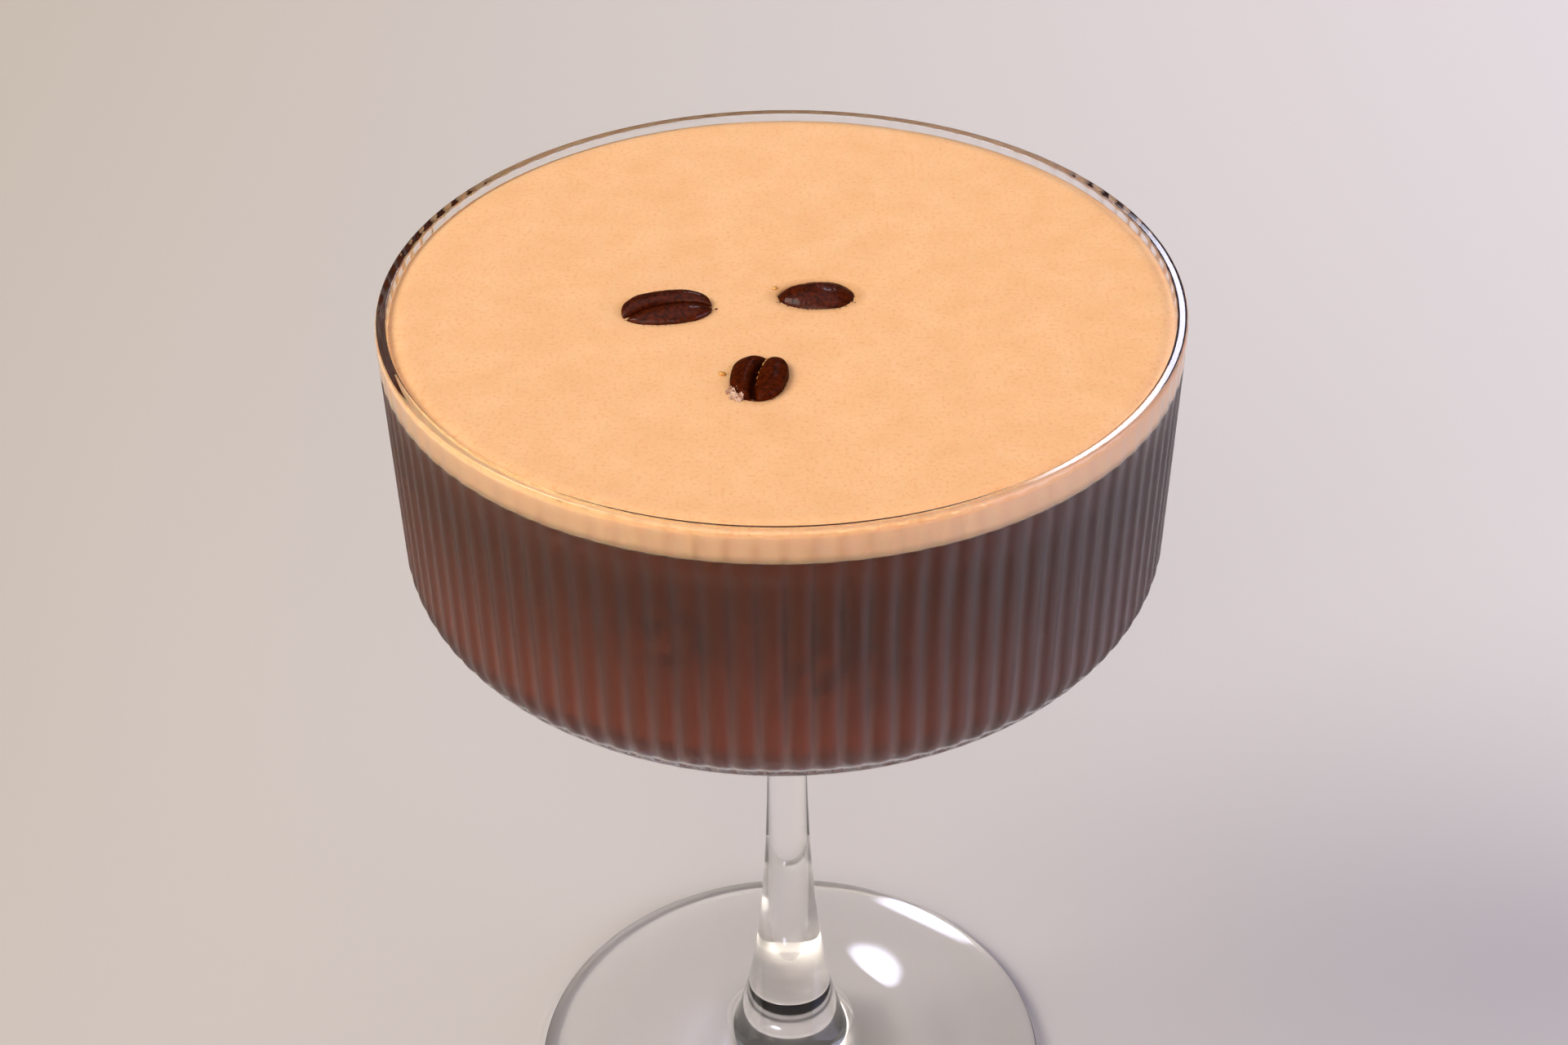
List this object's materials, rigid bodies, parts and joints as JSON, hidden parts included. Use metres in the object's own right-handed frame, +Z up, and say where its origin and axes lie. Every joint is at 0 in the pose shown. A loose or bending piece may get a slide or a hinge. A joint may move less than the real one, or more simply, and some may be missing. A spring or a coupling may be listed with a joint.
{
  "type": "espresso martini cocktail in a reeded coupe glass",
  "caption": "Stemmed coupe glass with a reeded bowl, filled with dark coffee cocktail under a smooth cap of tan foam that carries roasted coffee beans.",
  "frame": {"origin": "middle of the foot's underside, on the surface the glass stands on", "axes": "+Z up along the stem, -Y towards the viewer of the picture, +X to the viewer's right"},
  "size_m": [0.1, 0.1, 0.1348],
  "materials": {
    "glass": "clear pressed glass, the bowl fogged with fine condensation",
    "coffee": "dark coffee liquid",
    "foam": "fine tan coffee foam",
    "bean": "dark roasted, slightly oily"
  },
  "bodies": {
    "root": {"glass": "glass", "coffee": "coffee", "foam": "foam", "bean_left": "bean", "bean_right": "bean", "bean_front": "bean"}
  },
  "joints": []
}
